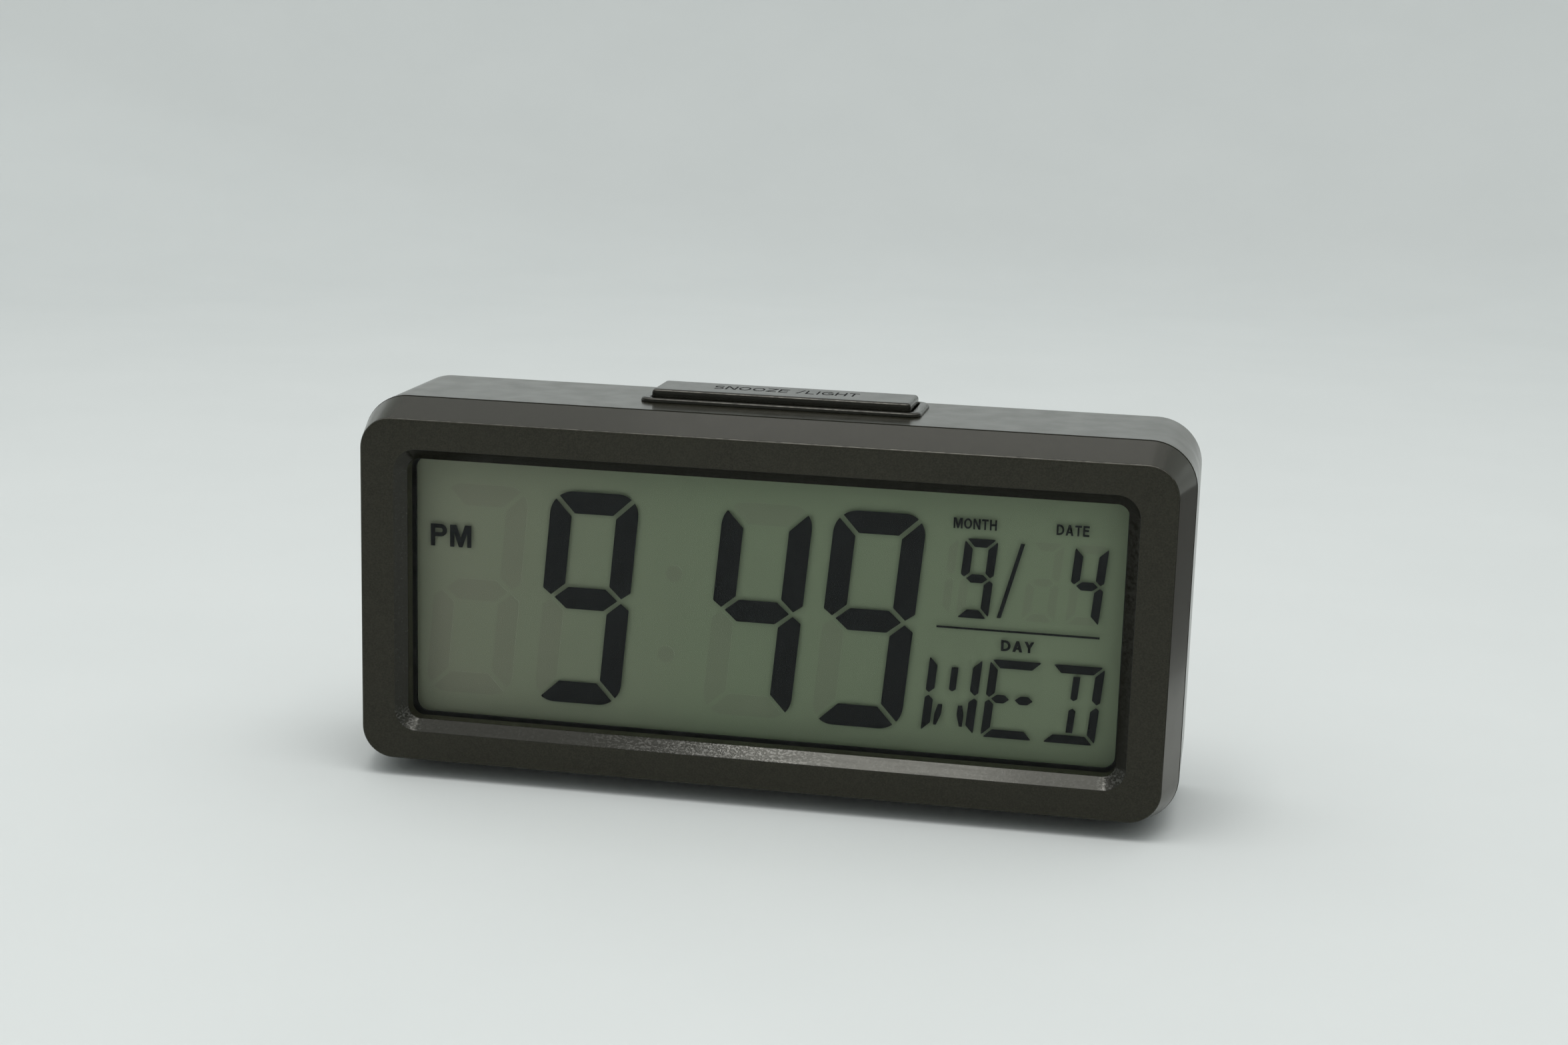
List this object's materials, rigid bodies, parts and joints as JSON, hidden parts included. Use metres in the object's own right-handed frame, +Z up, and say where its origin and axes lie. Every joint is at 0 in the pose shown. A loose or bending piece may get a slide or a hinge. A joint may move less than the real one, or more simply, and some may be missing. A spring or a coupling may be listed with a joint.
{
  "type": "alarm clock",
  "caption": "Battery desk alarm clock with a wide segment display behind a recessed window, a snooze bar on top, and keys, alarm slide, buzzer and hinged battery door at the back.",
  "frame": {"origin": "bottom centre of the whole clock, on the plane the feet stand on", "axes": "+X to the right seen from the front, +Y from the display towards the back, +Z up"},
  "size_m": [0.15, 0.0368, 0.0714],
  "materials": {
    "case_plastic": "satin bronze-black moulded plastic with a fine metallic grain",
    "trim_plastic": "satin bronze-black moulded plastic",
    "key_plastic": "satin moulded plastic",
    "rubber": "matt black rubber",
    "foam": "closed-cell black foam",
    "screw_steel": "zinc-plated steel",
    "window_acrylic": "clear polished acrylic",
    "polarizer_film": "clear film",
    "display_glass": "clear glass",
    "segment_ink": "blue-black switched segments",
    "seal_resin": "black resin",
    "reflector": "grey-green diffusing film",
    "light_guide": "frosted clear acrylic",
    "led": "white LED packages with yellow phosphor",
    "white_plastic": "white moulded plastic",
    "board": "green solder mask on glass-epoxy board",
    "component": "ceramic and plastic component bodies",
    "plated_metal": "nickel-plated sheet",
    "spring_steel": "drawn nickel-plated wire",
    "switch_plastic": "black switch housings",
    "plunger_plastic": "red-brown plungers",
    "brass": "rolled brass disc",
    "ceramic": "silvered piezo ceramic",
    "cell_sleeve": "printed shrink sleeve with plain metal ends",
    "wire_red": "PVC insulation",
    "wire_black": "PVC insulation",
    "wire_yellow": "PVC insulation"
  },
  "bodies": {
    "root": {"front_bezel": "case_plastic", "rear_case": "case_plastic", "snooze_surround": "trim_plastic", "rubber_feet": "rubber", "zebra_strip": "rubber", "window_gasket": "foam", "buzzer_retainer": "foam", "case_screws": "screw_steel", "main_board_screws": "screw_steel", "key_board_screws": "screw_steel", "snooze_board_screws": "screw_steel", "display_window": "window_acrylic", "front_polarizer": "polarizer_film", "lcd_front_glass": "display_glass", "lcd_rear_glass": "display_glass", "lcd_segments": "segment_ink", "lcd_seal": "seal_resin", "controller_blob": "seal_resin", "transflector": "reflector", "light_guide": "light_guide", "backlight_leds": "led", "reflector_sheet": "white_plastic", "lcd_holder": "white_plastic", "key_ribbon": "white_plastic", "main_board": "board", "key_board": "board", "snooze_board": "board", "chip_components": "component", "electrolytic_capacitor": "component", "watch_crystal": "plated_metal", "slide_switch_body": "plated_metal", "battery_contact_plus": "plated_metal", "battery_contact_minus": "plated_metal", "battery_contact_bridge": "plated_metal", "snooze_springs": "spring_steel", "battery_springs": "spring_steel", "key_switches": "switch_plastic", "snooze_switch": "switch_plastic", "buzzer_plate": "brass", "buzzer_ceramic": "ceramic", "battery_upper": "cell_sleeve", "battery_lower": "cell_sleeve", "battery_wire_red": "wire_red", "buzzer_wires": "wire_red", "battery_wire_black": "wire_black", "snooze_wires": "wire_yellow"},
    "snooze": {"snooze_button": "trim_plastic", "snooze_plunger": "plunger_plastic"},
    "set_key": {"key_set": "key_plastic", "plunger_set": "plunger_plastic"},
    "up_key": {"key_up": "key_plastic", "plunger_up": "plunger_plastic"},
    "down_key": {"key_down": "key_plastic", "plunger_down": "plunger_plastic"},
    "mode_key": {"key_mode": "key_plastic", "plunger_mode": "plunger_plastic"},
    "alarm_slide": {"alarm_slide_knob": "key_plastic"},
    "door": {"battery_door": "case_plastic"}
  },
  "joints": [
    {"name": "snooze_press", "type": "slide", "parent": "root", "child": "snooze", "axis": [0, 0, -1], "range_m": [0, 0.001], "stiffness_N_per_m": 300, "springref_m": -0.002, "deforming": ["snooze_springs"]},
    {"name": "set_key_press", "type": "slide", "parent": "root", "child": "set_key", "axis": [0, -1, 0], "range_m": [0, 0.0008], "stiffness_N_per_m": 120, "springref_m": -0.001},
    {"name": "up_key_press", "type": "slide", "parent": "root", "child": "up_key", "axis": [0, -1, 0], "range_m": [0, 0.0008], "stiffness_N_per_m": 120, "springref_m": -0.001},
    {"name": "down_key_press", "type": "slide", "parent": "root", "child": "down_key", "axis": [0, -1, 0], "range_m": [0, 0.0008], "stiffness_N_per_m": 120, "springref_m": -0.001},
    {"name": "mode_key_press", "type": "slide", "parent": "root", "child": "mode_key", "axis": [0, -1, 0], "range_m": [0, 0.0008], "stiffness_N_per_m": 120, "springref_m": -0.001},
    {"name": "alarm_switch", "type": "slide", "parent": "root", "child": "alarm_slide", "axis": [1, 0, 0], "range_m": [0, 0.003]},
    {"name": "door_hinge", "type": "hinge", "parent": "root", "child": "door", "pos_m": [0, 0.01625, 0.01165], "axis": [-1, 0, 0], "range_deg": [0, 85]}
  ]
}
